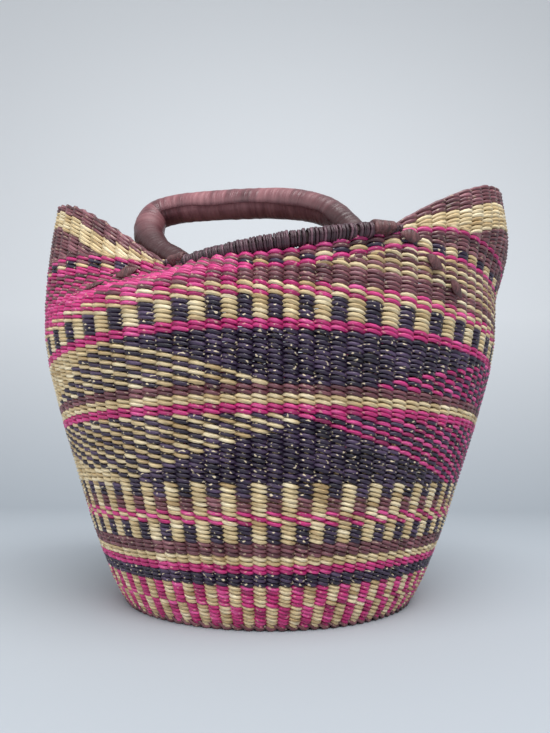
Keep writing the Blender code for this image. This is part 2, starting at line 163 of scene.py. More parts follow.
def rescale(made, value, old, new):
    """Turn one range of a value into another one."""
    ends = {"From Min": old[0], "From Max": old[1], "To Min": new[0], "To Max": new[1]}
    return add_node(made, "MapRange", {"Value": value, **ends}).outputs["Result"]


def mix(made, share, first, second, way="MIX"):
    values = {"Factor": share, "A": first, "B": second}
    return add_node(made, "Mix", values, data_type="RGBA", blend_type=way).outputs["Result"]


def three_tones(made, value, tones, ends):
    """The first tone up to the lower end of a value, the last from its upper end, one between."""
    deep, middle, light = (seen_colour(*tone) for tone in tones)
    node = add_node(made, "ValToRGB", {"Fac": value})
    for element, place, colour in zip(node.color_ramp.elements, ends, (deep, light)):
        element.position = place
        element.color = colour
    node.color_ramp.elements.new(0.5).color = middle
    return node.outputs["Color"]


def relief(made, height, strength, distance):
    values = {"Height": height, "Strength": strength, "Distance": distance}
    return add_node(made, "Bump", values).outputs["Normal"]


print("helpers for finishes ready")

# %% [markdown]
# ## Floor, backdrop and light
# A pale sheet runs under the basket and curves up behind it, as in a small photo studio. It starts as a
# single edge that is extruded back and then up, and the fold is bevelled so that no line shows. Where
# the paper lies flat it is painted darker, a painted shade that offsets the lamp shining straight down
# on it there. The light is a soft even sky with one broad lamp from the upper right, at which colours
# look as written.

# %% Floor and backdrop
floor_half_width = 2.4
floor_front = -1.6
floor_back = 1.9
backdrop_top = 5.2
fold_radius = 0.9

sheet_mesh = bmesh.new()
corners = [sheet_mesh.verts.new((side * floor_half_width, floor_front, 0)) for side in (1, -1)]
front_edge = sheet_mesh.edges.new(corners)
edge = [front_edge]
for step in (Vector((0, floor_back - floor_front, 0)), Vector((0, 0, backdrop_top))):
    grown = bmesh.ops.extrude_edge_only(sheet_mesh, edges=edge)["geom"]
    moved = [part for part in grown if isinstance(part, bmesh.types.BMVert)]
    bmesh.ops.translate(sheet_mesh, verts=moved, vec=step)
    edge = [part for part in grown if isinstance(part, bmesh.types.BMEdge)]
    edge = [part for part in edge if all(corner in moved for corner in part.verts)]
fold = [part for part in sheet_mesh.edges if len(part.link_faces) == 2]
bmesh.ops.bevel(sheet_mesh, geom=fold, offset=fold_radius, segments=16, profile=0.5,
                affect="EDGES", material=-1)
bmesh.ops.recalc_face_normals(sheet_mesh, faces=sheet_mesh.faces)
floor_data = bpy.data.meshes.new("floor")
sheet_mesh.to_mesh(floor_data)
sheet_mesh.free()
floor_data.shade_smooth()
floor = bpy.data.objects.new("floor", floor_data)
bpy.context.scene.collection.objects.link(floor)
print("floor sheet faces", len(floor_data.polygons))

# %% Floor finish and light
# The flat part of the sheet is painted darker, as painted shade against the lamp's light on it.
painted_shade_flat_sheet = seen_colour(176, 183, 190)
sheet_upright = seen_colour(233, 236, 239)
sheet_turn_height = 0.9
sky_colour = (0.93, 0.96, 1.0, 1.0)
sky_strength = 0.58

paper, paper_shader = new_finish("pale_sheet")
upright = rescale(paper, object_height(paper), (0.0, sheet_turn_height), (0.0, 1.0))
sheet_colour = mix(paper, upright, painted_shade_flat_sheet, sheet_upright)
feed(paper, paper_shader, {"Base Color": sheet_colour, "Roughness": 0.9})
floor_data.materials.append(paper)

world = bpy.data.worlds.new("soft_sky")
bpy.context.scene.world = world
world.use_nodes = True
sky = world.node_tree.nodes["Background"]
sky.inputs["Color"].default_value = sky_colour
sky.inputs["Strength"].default_value = sky_strength

lamps = (("key_lamp", (0.3, -1.15, 1.7), 1.5, 44.0), ("fill_lamp", (-1.2, -1.4, 0.6), 1.6, 11.0))
lamp_aim = Vector((0, 0, 0.18))
for name, place, size, power in lamps:
    lamp_data = bpy.data.lights.new(name, "AREA")
    lamp_data.size = size
    lamp_data.energy = power
    lamp = bpy.data.objects.new(name, lamp_data)
    bpy.context.scene.collection.objects.link(lamp)
    facing = (lamp_aim - Vector(place)).to_track_quat("-Z", "Y").to_matrix().to_4x4()
    lamp.matrix_world = Matrix.Translation(place) @ facing
print("lamps", [lamp[0] for lamp in lamps])

# %% [markdown]
# ## The shape of the wall
# Weavers judge height by rows, so every place on the wall is given by an angle round the basket and a
# row number counted from the turn of the bottom. The outline from the turn to the top is a short list
# of radii and heights, and the row number is a distance along that outline. Angle 0 is the front.

# %% Wall outline
row_pitch = 0.00305
stake_count = 104
stake_step = 360.0 / stake_count
outline_radii = (0.1245, 0.1295, 0.1362, 0.146, 0.1548, 0.168, 0.1840, 0.1880,
                 0.200, 0.206, 0.209, 0.210, 0.2095, 0.208, 0.206)
outline_heights = (0.0025, 0.0085, 0.020, 0.041, 0.061, 0.096, 0.139, 0.1507,
                   0.1865, 0.212, 0.240, 0.270, 0.300, 0.330, 0.366)
outline_steps = np.hypot(np.diff(outline_radii), np.diff(outline_heights))
outline_paths = np.concatenate([[0.0], np.cumsum(outline_steps)])
full_rows = 75


def outline(row):
    """Outer radius and height of the wall at a row."""
    path = np.asarray(row) * row_pitch
    return np.interp(path, outline_paths, outline_radii), np.interp(path, outline_paths, outline_heights)


def ease(share):
    share = np.clip(share, 0.0, 1.0)
    return share * share * (3.0 - 2.0 * share)


print("rows up the outline", round(outline_paths[-1] / row_pitch, 1))

# %% [markdown]
# Above the level rows the sides are built up with short rows, which turn back before they reach the
# front, as heels are turned in knitting. That is why the rim is low at the handles and rises into two
# ears. The front rim sags inwards a little left of the middle, and the right ear leans outwards. A pink
# line follows the rim and then stays level at the sides, where more rows lie between it and the edge.

# %% Rim and ears
shoulder_rows = 7
side_extra_rows = 17
side_extra_angle = 62.0
right_ear_rows = 19.6
left_ear_rows = 17.9
right_ear_power = 0.9
left_ear_power = 1.30
right_line_row = 94.2
left_line_row = 94.4
right_line_softness = 0.8
left_line_softness = 2.4
ear_start_angle = 24.0
ear_lean = 0.0145
ear_lean_row = 84.0
ear_lean_rows = 20.0
ear_lean_angle = 36.0
fold_inward = 0.032
fold_drop = 0.012
fold_angle = -28.0
fold_half_width = 40.0
fold_rows = 14.0
band_lift_rows = 0.85
band_lift_from = 28.0
band_lift_over = 18.0
band_drop_from = 66.0
band_drop_over = 14.0


def side_turn(angle):
    """Degrees from the nearer of the front and the back, 0 to 90."""
    turn = np.abs((np.asarray(angle) + 180.0) % 360.0 - 180.0)
    return np.minimum(turn, 180.0 - turn)


def extra_rows(angle):
    return side_extra_rows * ease(side_turn(angle) / side_extra_angle)


def rim_row(angle):
    return full_rows + shoulder_rows + extra_rows(angle)


def on_right(angle):
    return np.sin(np.radians(angle)) > 0


def ear_height(angle):
    rise = (side_turn(angle) - ear_start_angle) / (90.0 - ear_start_angle)
    full = np.where(on_right(angle), right_ear_rows, left_ear_rows)
    power = np.where(on_right(angle), right_ear_power, left_ear_power)
    return full * np.sin(0.5 * math.pi * np.maximum(0.0, rise)) ** power


def line_row(angle):
    """Row of the pink line below the ears; at the sides it stays level, softly."""
    limit = np.where(on_right(angle), right_line_row, left_line_row)
    softness = np.where(on_right(angle), right_line_softness, left_line_softness)
    return -softness * np.logaddexp(-rim_row(angle) / softness, -limit / softness)


def band_lift(row):
    """Rows half way up lie a little higher than an even count would put them."""
    gone = ease((row - band_drop_from) / band_drop_over)
    return band_lift_rows * ease((row - band_lift_from) / band_lift_over) * (1.0 - gone)


def wall(angle, row, inset):
    """Places on the wall, as rows of x, y, z, at a depth measured inwards from its outer face."""
    radius, height = outline(row + band_lift(row))
    away = np.abs((angle - fold_angle + 180.0) % 360.0 - 180.0) / fold_half_width
    fold = np.cos(0.5 * math.pi * np.minimum(1.0, away)) ** 2 * ease((row - full_rows) / fold_rows)
    reach = ease((side_turn(angle) - ear_start_angle) / ear_lean_angle) * on_right(angle)
    lean = ear_lean * reach * ease((row - ear_lean_row) / ear_lean_rows)
    radius = radius - inset - fold_inward * fold + lean
    height = height - fold_drop * fold
    turn = np.radians(angle)
    return np.stack([radius * np.sin(turn), -radius * np.cos(turn), height], axis=-1)


print("rows to the rim, front and side", rim_row(0.0), rim_row(90.0))

# %% [markdown]
# The stakes aren't quite evenly spread at the top: the tight binding of the rim between the handle ends
# draws them together there. The stitches between them get narrower too, which the photograph shows.

# %% Stakes drawn together under the rim binding
gather_shift = 3.3
gather_reach = 22.0
gather_start_row = 30.0
gather_over_rows = 40.0


def gathered(angle, row):
    """Angle of a stake after the rim binding has drawn it towards the front or back middle."""
    turn = (np.asarray(angle) + 90.0) % 180.0 - 90.0
    share = turn / gather_reach
    pull = gather_shift * share * np.exp(0.5 * (1.0 - share * share))
    return angle - pull * ease((row - gather_start_row) / gather_over_rows)


print("a stake at 20 degrees moves to", round(float(gathered(20.0, 75.0)), 1))

# %% [markdown]
# ## One strand
# Seen from above, a strand swings out and in like a wave, once for every two stakes. It also drops
# while it is outside and climbs while it is inside, which gives each stitch its slant. A strand is
# thick where it lies over a stake and thin where it dives between two, like a bead with pointed ends.

# %% Strand path
steps_per_stake = 4
wall_middle = 0.0039
swing = 0.0028
drop = 0.00092
bead_radius = 0.00164
neck_share = 0.64
swing_power = 0.8


def wall_surface(angle, row, inset):
    return wall(gathered(angle, row), row, inset)


def strand_path(stakes, partner, level, chance, surface, around):
    """Points and thickness of one strand. Stakes are places counted in stakes; partner is 0 or 1."""
    phase = np.pi * (stakes - 0.5 - partner)
    outside = np.cos(phase)
    stitch = np.round((stakes - 0.5 - partner) / 2.0).astype(int) * 2 + partner
    lift, size = chance(stitch)
    angle = stakes * 360.0 / around
    row = level(angle) - drop / row_pitch * np.sin(phase) + lift
    inset = wall_middle - swing * np.sign(outside) * np.abs(outside) ** swing_power
    points = surface(angle, row, inset)
    thickness = bead_radius * size * (neck_share + (1.0 - neck_share) * np.abs(outside))
    return points, thickness


print("stitch slant", round(math.degrees(math.atan(drop * math.pi / 0.011))), "degrees")

# %% [markdown]
# ## From strands to a mesh
# Each strand becomes one line of a curve object. A curve can be given a round thickness that changes
# along its length, and Blender turns it into a mesh of rings, six corners each, in order along the
# line. That order is used twice: to lay a UV map along every strand, so that the grass fibres run the
# right way, and to give each stitch the colour it has in the pattern.

# %% Curve to mesh
strand_sides = 6
weave_random = np.random.default_rng(7)
dye_names = ("pink", "tan", "navy", "brown")
pink, tan, navy, brown = range(len(dye_names))


def tube_mesh(name, lines, closed, section, tilt):
    """A mesh of tubes along lines of points, round or with a drawn section, each with its thickness."""
    curve = bpy.data.curves.new(name, "CURVE")
    curve.dimensions = "3D"
    curve.twist_mode = "Z_UP"
    curve.bevel_depth = 1.0
    curve.bevel_resolution = 0 if section else strand_sides // 2 - 2
    if section:
        curve.bevel_mode = "OBJECT"
        curve.bevel_object = section
    for (points, thickness), ring in zip(lines, closed):
        spline = curve.splines.new("POLY")
        spline.points.add(len(points) - 1)
        four = np.ones((len(points), 4))
        four[:, :3] = points
        spline.points.foreach_set("co", four.ravel())
        spline.points.foreach_set("radius", thickness)
        if tilt is not None:
            spline.points.foreach_set("tilt", tilt)
        spline.use_cyclic_u = bool(ring)
    holder = bpy.data.objects.new(name, curve)
    bpy.context.scene.collection.objects.link(holder)
    bpy.context.view_layer.update()
    evaluated = holder.evaluated_get(bpy.context.evaluated_depsgraph_get())
    mesh = bpy.data.meshes.new_from_object(evaluated)
    mesh.name = name
    bpy.data.objects.remove(holder, do_unlink=True)
    bpy.data.curves.remove(curve)
    return mesh


def place_object(name, mesh):
    """Close the ends of open tubes, each with the finish of its tube, and make the object."""
    work = bmesh.new()
    work.from_mesh(mesh)
    open_edges = [edge for edge in work.edges if edge.is_boundary]
    if open_edges and len(open_edges) < len(work.edges) / 4:
        for cap in bmesh.ops.holes_fill(work, edges=open_edges, sides=0)["faces"]:
            wall_face = next(face for face in cap.edges[0].link_faces if face is not cap)
            cap.material_index = wall_face.material_index
            cap.smooth = True
        work.to_mesh(mesh)
    work.free()
    mesh.name = name
    made = bpy.data.objects.new(name, mesh)
    bpy.context.scene.collection.objects.link(made)
    return made


print("corners on each ring", strand_sides)

# %% Colour and fibre direction of each stitch


def dress_strands(mesh, places, colours, sides):
    """UV along the strands and a colour number for each face; places and colours are per ring."""
    place = np.concatenate(places)
    colour = np.concatenate(colours)
    length = np.concatenate([np.full(len(part), part[-1] - part[0] + part[1] - part[0])
                             for part in places])
    tag = np.concatenate([np.full(len(part), index) for index, part in enumerate(places)])
    corner = np.zeros(len(mesh.loops), dtype=np.int32)
    mesh.loops.foreach_get("vertex_index", corner)
    corner = corner.reshape(-1, 4)
    ring = corner // sides
    side = corner % sides
    joins = (ring.max(axis=1) - ring.min(axis=1) > 1)[:, None]
    along = place[ring] + np.where(joins & (ring == ring.min(axis=1)[:, None]), length[ring], 0.0)
    turns = (side.max(axis=1) - side.min(axis=1) > 1)[:, None]
    around = (side + np.where(turns & (side == 0), sides, 0)) / sides + tag[ring]
    first = np.where(joins[:, 0], ring.max(axis=1), ring.min(axis=1))
    while mesh.uv_layers:
        mesh.uv_layers.remove(mesh.uv_layers[0])
    layer = mesh.uv_layers.new(name="strand")
    layer.data.foreach_set("uv", np.stack([along, around], axis=-1).astype(np.float32).ravel())
    mesh.polygons.foreach_set("material_index", colour[first].astype(np.int32))
    mesh.shade_smooth()


def make_tubes(name, lines, places, colours, finishes, body, solid, finish_slot,
               closed=None, section=None, tilt=None):
    """An object of tubes that rides on a body and replaces solids; closed says which lines are rings."""
    mesh = tube_mesh(name, lines, closed or [False] * len(lines), section, tilt)
    for finish in finishes:
        mesh.materials.append(finish)
    sides = len(section.data.splines[0].points) if section else strand_sides
    dress_strands(mesh, places, colours, sides)
    made = place_object(name, mesh)
    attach(made, body)
    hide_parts(*solid)
    print(name, "tubes", len(lines), "faces", len(mesh.polygons))


print("dyes:", ", ".join(dye_names))

# %% [markdown]
# ## Grass finish
# The strands are split grass, twisted and dyed in bundles. Close up, each one has fine lines along its
# length, the dye takes unevenly from stitch to stitch, and the rind has a soft shine. The finish reads
# the strand's UV map: stretched noise makes the fibres, slow noise changes the tone of a stitch, and
# the peaks of a fine noise make small light flecks of straw colour, which stand partly for straw that
# shows between the stitches and partly for painted glints.


# %% Grass finish
fibre_stretch = (1.6, 13.0, 1.0)
stitch_stretch = (0.42, 0.31, 1.0)
fleck_stretch = (5.0, 4.5, 1.0)
noise_middle = (0.3, 0.7)
fibre_shades = (0.44, 1.28)
fleck_peaks = (0.70, 0.74)
straw_fleck_and_glint_colour = seen_colour(222, 204, 170)


def grass_finish(name, tones, roughness, flecks=0.0):
    """Dyed grass; tones are deep, middle and light."""
    made, shader = new_finish(name)
    strand = uv_place(made, "strand")
    fibres = noise(made, strand, fibre_stretch, 3.0)
    dyed = three_tones(made, noise(made, strand, stitch_stretch, 1.0), tones, (0.32, 0.70))
    colour = mix(made, 1.0, dyed, rescale(made, fibres, noise_middle, fibre_shades), "MULTIPLY")
    # Light flecks of straw colour: partly straw showing between stitches, partly painted glints.
    if flecks:
        straw_and_glint_flecks = rescale(made, noise(made, strand, fleck_stretch, 0.0), fleck_peaks, (0.0, flecks))
        colour = mix(made, straw_and_glint_flecks, colour, straw_fleck_and_glint_colour)
    bumps = relief(made, fibres, 0.5, 0.0003)
    feed(made, shader, {"Base Color": colour, "Roughness": roughness, "Normal": bumps})
    return made


dyes = (
    grass_finish("pink_dyed_grass", ((140, 23, 81), (198, 42, 117), (225, 90, 156)), 0.40, 0.35),
    grass_finish("undyed_grass", ((180, 150, 104), (216, 193, 148), (244, 228, 192)), 0.42),
    grass_finish("navy_dyed_grass", ((26, 17, 34), (48, 34, 58), (88, 68, 98)), 0.30, 0.85),
    grass_finish("brown_dyed_grass", ((72, 40, 46), (112, 64, 71), (150, 98, 106)), 0.36, 0.35))
print("finishes:", [made.name for made in dyes])

# %% [markdown]
# ## A band of rows
# A row is described by its level, the stakes it runs between and a rule that gives the dye of each
# stitch. Full rows close on themselves. Short rows stop between two stakes, inside the wall. Hand work
# is never exact, so each stitch gets a little chance in its height and thickness.

# %% Weaving a band
lift_chance = 0.06
size_chance = 0.05
strand_end_share = 0.3


def steady(value):
    """A level that is the same all round."""
    return lambda angle: np.full_like(angle, value, dtype=float)


def stitch_chance(around):
    """Height and thickness of each stitch of a row, a little uneven."""
    lifts = weave_random.normal(0.0, lift_chance, around)
    sizes = 1.0 + weave_random.normal(0.0, size_chance, around)
    return lambda stitch: (lifts[stitch % around], sizes[stitch % around])


def weave(name, rows, body, solid, finish_slot, surface=wall_surface, around=stake_count):
    """One object for a band. A row is level, first stake, last stake (None for a full row), rule."""
    lines = []
    places = []
    colours = []
    closed = []
    for level, first, last, rule in rows:
        ring = last is None
        count = around if ring else last - first
        steps = np.arange(count * steps_per_stake + (not ring)) / steps_per_stake
        stakes = (0 if ring else first) + steps
        for partner in (0, 1):
            chance = stitch_chance(around)
            points, thickness = strand_path(stakes, partner, level, chance, surface, around)
            if not ring:
                thickness[[0, -1]] *= strand_end_share
            lines.append((points, thickness))
            ahead = stakes + 0.5 / steps_per_stake
            stitch = np.round((ahead - 0.5 - partner) / 2.0).astype(int) * 2 + partner
            turned = (stitch + around // 2) % around - around // 2
            places.append(stakes)
            colours.append(rule(turned))
            closed.append(ring)
    make_tubes(name, lines, places, colours, dyes, body, solid, finish_slot, closed)


def band(start, name, finish_slot, rules):
    """Level full rows, one for each rule, from a row upwards; the answer is the row above them."""
    rows = [(steady(start + row + 0.5), 0, None, rule) for row, rule in enumerate(rules)]
    weave(name, rows, "basket", [name + "_weft"], finish_slot)
    return start + len(rows)


print("stitches in a full row", stake_count)

# %% [markdown]
# ## Pattern rules
# A rule answers one question: which dye has stitch number so-and-so of this row? Columns of one colour
# come from giving odd stitches one dye and even ones another in every row. Slanting streaks come from
# moving that choice along by one stitch in each row. Stitch 0 is just right of the front middle.


# %% Pattern rules
def plain(dye):
    return lambda stitch: np.full(len(stitch), dye)


def columns(odd_dye, even_dye):
    return lambda stitch: np.where(stitch % 2 == 1, odd_dye, even_dye)


def mirrored(stitch):
    """Stitch number folded so that the back repeats the front, left and right kept."""
    half = stake_count // 2
    quarter = half // 2
    left = stitch < 0
    outward = np.where(left, -1 - stitch, stitch)
    outward = np.where(outward >= quarter, half - 1 - outward, outward)
    return np.where(left, -1 - outward, outward)


print("stitch 40 repeats stitch", mirrored(np.array([40]))[0])

# %% [markdown]
# The two navy fields carry long wedges: from the left, tan and navy streaks, and from the right, pink
# and navy ones, which nearly meet at the front. Each wedge's edge moves one stitch per row.

# %% Wedge rules


def wedges(row, left_edge, right_edge, solid_edge, is_solid):
    """Navy between two wedges; past the solid edge the left wedge can turn from streaks to all tan."""
    def rule(stitch):
        place = mirrored(stitch)
        odd = (place + row) % 2 == 1
        solid = (place < solid_edge) & is_solid(solid_edge - place)
        dye = np.where(place <= left_edge, np.where(odd | solid, tan, navy), navy)
        return np.where(place >= right_edge, np.where(odd, pink, navy), dye)
    return rule


def upper_field(row):
    """Row counts from the bottom of the field; its wedges are long below and short above."""
    return wedges(row, -1 - row, 7 + row, -11, lambda depth: row > 10.5 - 1.44 * depth)


def lower_field(row):
    """Here the wedges are short below and long above."""
    return wedges(row, row - 11, 15 - row, -10, lambda depth: row < 0.6 * depth)


print("dyes left of the front", [dye_names[dye] for dye in upper_field(0)(np.arange(-4, 1))])

# %% [markdown]
# ## Lower bands
# From the turn of the bottom upwards: pink and tan checks that change step half way, navy, pink, tan
# and brown lines, and the tall band of tan posts with small pink and tan twists across it.

# %% Lower bands
checks = [columns(pink, tan)] * 6 + [columns(tan, pink)] * 5
top = band(0, "checks_low", "pink_grass", checks)
for name, count, dye, finish_slot in (("navy_low", 3, navy, "navy_grass"),
                                      ("magenta_low", 2, pink, "magenta_grass"),
                                      ("tan_low", 2, tan, "tan_grass"),
                                      ("brown_low", 3, brown, "brown_grass")):
    top = band(top, name, finish_slot, [plain(dye)] * count)
print("rows so far", top)

# %% Posts
between = (navy, navy, navy, navy, pink, None, pink, brown, brown, brown, navy, navy, navy)
posts = [columns(pink, tan) if dye is None else columns(tan, dye) for dye in between]
top = band(top, "posts", "tan_grass", posts)
print("rows so far", top)

# %% Navy fields and the lines between them
top = band(top, "lower_field", "navy_grass", [lower_field(row) for row in range(14)])
for name, count, dye, finish_slot in (("magenta_mid", 2, pink, "magenta_grass"),
                                      ("tan_mid", 2, tan, "tan_grass"),
                                      ("brown_mid", 2, brown, "brown_grass")):
    top = band(top, name, finish_slot, [plain(dye)] * count)
top = band(top, "upper_field", "navy_grass", [upper_field(row) for row in range(11)])
print("rows so far", top)

# %% Upper checks
top = band(top, "magenta_upper", "magenta_grass", [plain(pink)] * 2)
top = band(top, "checks_upper", "tan_grass", [columns(tan, navy)] * 5)
top = band(top, "candy", "pink_grass", [columns(pink, tan), columns(tan, pink), columns(pink, tan)])
print("rows so far", top, "of", full_rows)

# %% [markdown]
# ## Shoulder
# Three full rows come first, then the short rows of each side, then four full rows that follow the rim,
# the last of them pink. A short row exists where the build-up is deeper than its own number, and it
# sinks a little at its two ends, so that no gap is left under the row above. On the right side the last
# few short rows lie between the second and the third of the four, just under the pink line.

# %% Shoulder helpers
under_rows = 3
end_room = 0.35
row_start = 0.15
wedge_depth = 3.7
wedge_start_angle = 26.0
wedge_over_angle = 13.0
rows_below_wedge = 2
left_zone_end = -11
right_zone_start = -2
tan_start_stitch = 12
left_pink_rows = 4
side_stakes = np.arange(0, stake_count // 2 + 1)


def built_rows(angle):
    """Short rows between the full rows, at an angle."""
    return line_row(angle) - full_rows - shoulder_rows


def wedge_rows(angle):
    """The share of the short rows that lies high up, under the pink line; only on the right."""
    share = ease((side_turn(angle) - wedge_start_angle) / wedge_over_angle)
    return wedge_depth * share * on_right(angle)


def low_rows(angle):
    return built_rows(angle) - wedge_rows(angle)


def depth_span(number, limit, mirror):
    """First and last stake of one side where a built-up depth reaches a number."""
    side = -1 if mirror else 1
    reach = np.flatnonzero(limit(side * side_stakes * stake_step) >= number)
    if len(reach) < 2:
        return None
    ends = (side * (int(side_stakes[reach[0]]) - 1), side * (int(side_stakes[reach[-1]]) + 1))
    return min(ends), max(ends)


def over_level(row):
    depth = low_rows if row < rows_below_wedge else built_rows
    return lambda angle: full_rows + under_rows + depth(angle) + row + 0.5


def short_level(number):
    return lambda angle: full_rows + under_rows + np.minimum(number + 0.5, low_rows(angle) - end_room)


def wedge_level(number):
    base = over_level(rows_below_wedge - 1)
    return lambda angle: base(angle) + 0.5 + np.minimum(number + 0.5, wedge_rows(angle) - end_room)


def tan_past(first):
    """Brown near the front and the back, tan towards the side."""
    return lambda stitch: np.where(mirrored(stitch) >= first, tan, brown)


def by_zone(right_rule, fold_rule, left_rule):
    """One rule right of the fold, one in the fold and one left of it."""
    def rule(stitch):
        place = mirrored(stitch)
        dye = np.where(place < left_zone_end, left_rule(stitch), fold_rule(stitch))
        return np.where(place >= right_zone_start, right_rule(stitch), dye)
    return rule


print("short rows at the right and left side", round(float(built_rows(90.0)), 1),
      round(float(built_rows(-90.0)), 1))

# %% Shoulder rows
rows = []
for row in range(under_rows):
    fold_rule = columns(brown, pink) if row % 2 else columns(pink, brown)
    side_rule = tan_past(tan_start_stitch) if row % 2 else plain(brown)
    rows.append((steady(full_rows + row + 0.5), 0, None, by_zone(side_rule, fold_rule, plain(pink))))
over_rules = (by_zone(plain(pink), columns(brown, pink), plain(pink)),
              by_zone(columns(tan, navy), columns(pink, brown), columns(tan, navy)),
              by_zone(plain(brown), columns(brown, pink), columns(brown, navy)),
              plain(pink))
rows += [(over_level(row), 0, None, rule) for row, rule in enumerate(over_rules)]
for number in range(side_extra_rows):
    right_dye = tan if number % 2 else brown
    left_dye = pink if number < left_pink_rows or number % 2 else brown
    for mirror, dye in ((False, right_dye), (True, left_dye)):
        span = depth_span(number + row_start, low_rows, mirror)
        if span is not None:
            rows.append((short_level(number), *span, plain(dye)))
for number in range(math.ceil(wedge_depth)):
    span = depth_span(number + row_start, wedge_rows, False)
    if span is not None:
        rows.append((wedge_level(number), *span, plain(brown) if number else columns(tan, navy)))
print("shoulder rows", len(rows))

# %% [markdown]
# ## Ears
# The rows of an ear run parallel to its outer edge and end on the pink line, so they look steep near the
# handles. Counted from the edge downwards: a brown border, tan rows, and brown again below. Near the
# handles the ear is only a few rows high, and there the border takes the upper half of it. The lowest
# rows of the ears belong to the shoulder.

# %% Ears
ear_border_rows = 4
border_slip_from = 42.0
border_slip_over = 20.0
right_look = {"tan_from": 5.0, "tan_until": 12.2, "tip_slip": 0.0}
left_look = {"tan_from": 4.6, "tan_until": 9.6, "tip_slip": 2.2}


def ear_reach(angle):
    """Rows between the pink line and the edge."""
    return rim_row(angle) + ear_height(angle) - line_row(angle)


def ear_level(row):
    """Level of an ear row counted down from the edge; its ends lie on the pink line."""
    return lambda angle: line_row(angle) + np.maximum(ear_reach(angle) - row - 0.5, end_room)


def ear_rule(row, tan_from, tan_until, tip_slip):
    """Brown border, tan, brown below; towards the tip both ends of the tan may move up a little."""
    def rule(stitch):
        angle = (stitch + 0.5) * stake_step
        slip = tip_slip * ease((side_turn(angle) - border_slip_from) / border_slip_over)
        border = np.minimum(0.5 * ear_reach(angle), tan_from - slip)
        return np.where((row + 0.5 < border) | (row + 0.5 > tan_until - slip), brown, tan)
    return rule


def ear_rows_of(mirror, first_row, last_row, look):
    made = []
    for row in range(first_row, last_row):
        span = depth_span(row + row_start, ear_reach, mirror)
        if span is not None:
            made.append((ear_level(row), *span, ear_rule(row, **look)))
    return made


for side_name, mirror, look, ear_rows in (("right", False, right_look, int(right_ear_rows)),
                                          ("left", True, left_look, int(left_ear_rows))):
    ear = "ear_" + side_name
    border = ear_rows_of(mirror, 0, ear_border_rows, look)
    inner = ear_rows_of(mirror, ear_border_rows, ear_rows, look)
    rows += ear_rows_of(mirror, ear_rows, ear_rows + side_extra_rows, look)
    weave(ear + "_edge", border, "basket", [ear + "_border"], "brown_grass")
    weave(ear + "_inner", inner, "basket", [ear + "_weft"], "tan_grass")
weave("shoulder", rows, "basket", ["shoulder_weft"], "brown_grass")

# %% [markdown]
# ## Bottom
# The bottom starts at its centre with a few stakes crossed over each other. As the rows go outwards the
# stakes are split and new ones added, so that the stitches stay about the same length: here 8, 26, 52
# and then 104 stakes. It is woven flatter than the wall, and its outer face looks down.

# %% Bottom surface
bottom_middle = 0.0031
bottom_flatness = 0.58


def bottom_surface(angle, row, inset):
    """Places on the bottom; rows count outwards from its centre."""
    turn, radius, depth = np.broadcast_arrays(np.radians(angle), row * row_pitch, inset)
    height = bottom_middle + (depth - wall_middle) * bottom_flatness
    return np.stack([radius * np.sin(turn), -radius * np.cos(turn), height], axis=-1)


print("bottom rows", round(float(outline(0)[0]) / row_pitch))

# %% Bottom weave
for name, first_row, last_row, around in (("bottom_centre", 0, 4, 8), ("bottom_inner", 4, 11, 26),
                                          ("bottom_middle_part", 11, 23, 52),
                                          ("bottom_outer", 23, 41, stake_count)):
    rows = [(steady(row + 0.5), 0, None, plain(tan if row % 9 > 6 else brown))
            for row in range(first_row, last_row)]
    weave(name, rows, "basket", ["base_disc"], "brown_grass", bottom_surface, around)

# %% [markdown]
# ## Stakes
# The stakes are bundles of stiff straw. They lie inside the weave, with one strand in front and one
# behind, so only glints of them show between the stitches. Each one runs out across the bottom, turns
# up at the edge and follows the wall to just under the rim or the edge of an ear.

# %% Straw stakes
stake_radius = 0.0017
stake_root_row = 23.0
stake_first_row = 0.6
stake_row_step = 2.0
stake_short_rows = 1.2
stake_fibre_step = 0.7

straw = grass_finish("stake_straw", ((170, 140, 92), (204, 178, 128), (226, 206, 162)), 0.42)
lines = []
for stake in range(stake_count):
    angle = (stake + 0.5) * stake_step
    highest = float(rim_row(angle) + ear_height(angle)) - stake_short_rows
    across = np.arange(stake_root_row, outline_radii[0] / row_pitch, stake_row_step)
    upward = np.linspace(stake_first_row, highest, int(highest / stake_row_step))
    flat = bottom_surface(np.full(len(across), angle), across, wall_middle)
    points = np.concatenate([flat, wall_surface(np.full(len(upward), angle), upward, wall_middle)])
    thickness = np.full(len(points), stake_radius)
    thickness[-1] *= strand_end_share
    lines.append((points, thickness))
places = [np.arange(len(points)) * stake_fibre_step for points, thickness in lines]
colours = [np.zeros(len(points)) for points, thickness in lines]
make_tubes("stakes_straw", lines, places, colours, [straw], "basket", ["stakes"], "straw")

# %% [markdown]
# ## Rim binding
# Between the two ends of a handle the rim is a thick roll. Dark grass is wound round and round it, from
# the outside over the top to the inside, each turn pressed against the last. It is one long spiral, so
# one line of points makes it: an oval that is carried along the rim. The roll gets thinner towards its
# ends, where the leather loops sit on it.

# %% Rim binding shape
binding_end = 24.0
binding_outside = 0.0035
binding_inside = 0.0085
binding_height = 0.0108
binding_taper_start = 15.5
binding_taper_over = 8.0
binding_taper_share = 0.42
binding_lift = 0.0010


def wall_axes(angle, row):
    """Directions outwards and upwards on the wall, from small steps along it."""
    angle = np.asarray(angle, dtype=float)
    here = wall(angle, row, 0.0)
    across = wall(angle + 0.5, row, 0.0) - here
    up = wall(angle, row + 1.0, 0.0) - here
    outward = np.cross(across, up)
    outward = outward / np.linalg.norm(outward, axis=-1, keepdims=True)
    across = across / np.linalg.norm(across, axis=-1, keepdims=True)
    return outward, np.cross(outward, across)


